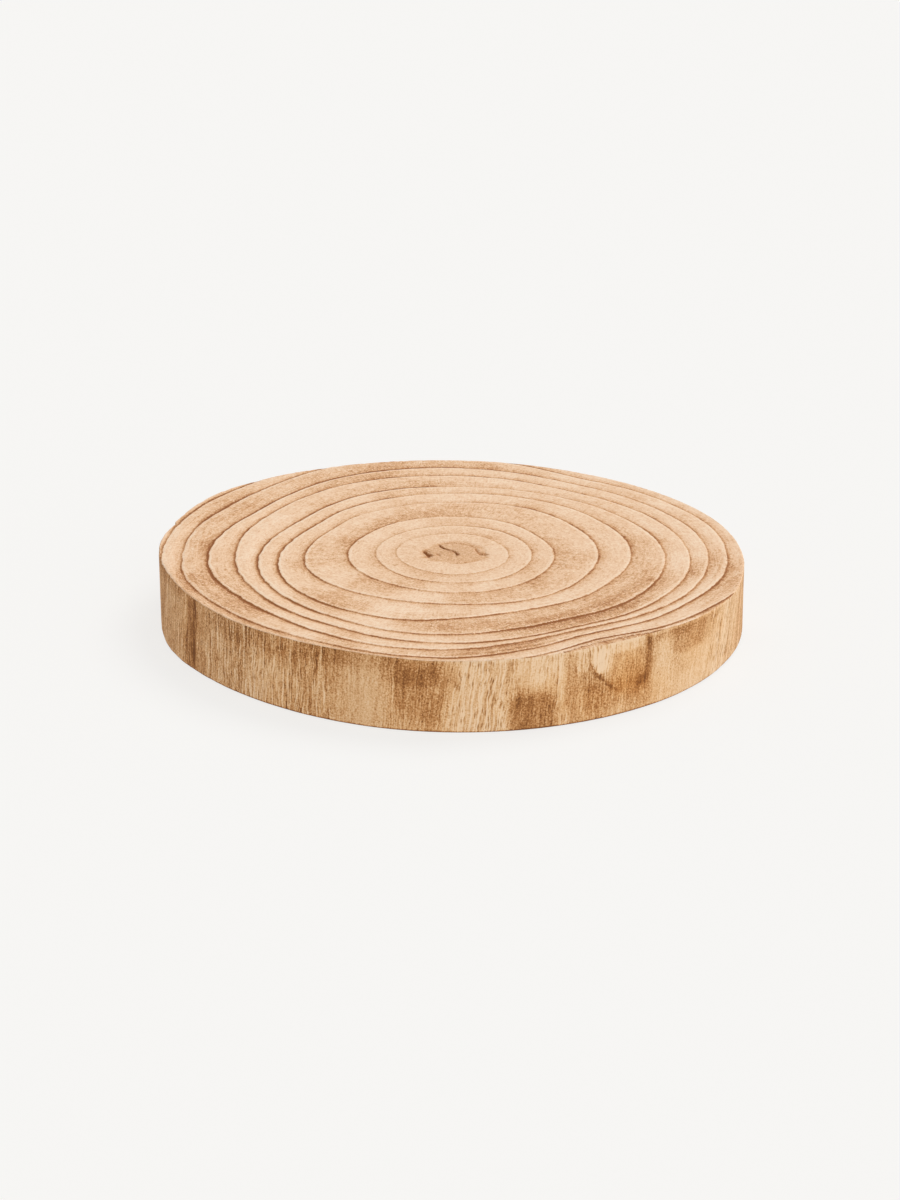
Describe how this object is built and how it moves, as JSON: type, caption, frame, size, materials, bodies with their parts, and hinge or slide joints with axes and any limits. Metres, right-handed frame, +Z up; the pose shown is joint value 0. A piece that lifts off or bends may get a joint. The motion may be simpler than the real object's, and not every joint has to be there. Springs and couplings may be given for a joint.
{
  "type": "wood slice",
  "caption": "Round slice sawn across a debarked log, lying flat, its faces scorched and brushed so that the growth rings stand in low relief.",
  "frame": {"origin": "under the middle of the slice's box, on the surface that it lies on", "axes": "+Z up through the thickness, square to the two sawn faces; +X and +Y lie in the plane of the slice, +Y away from the side with the knot figure"},
  "size_m": [0.24, 0.2344, 0.0305],
  "materials": {
    "brushed_wood": "lightly scorched and wire brushed, unsealed, matt; pale summer wood with brown ring lines and pores"
  },
  "bodies": {
    "root": {"wood_slice": "brushed_wood"}
  },
  "joints": []
}
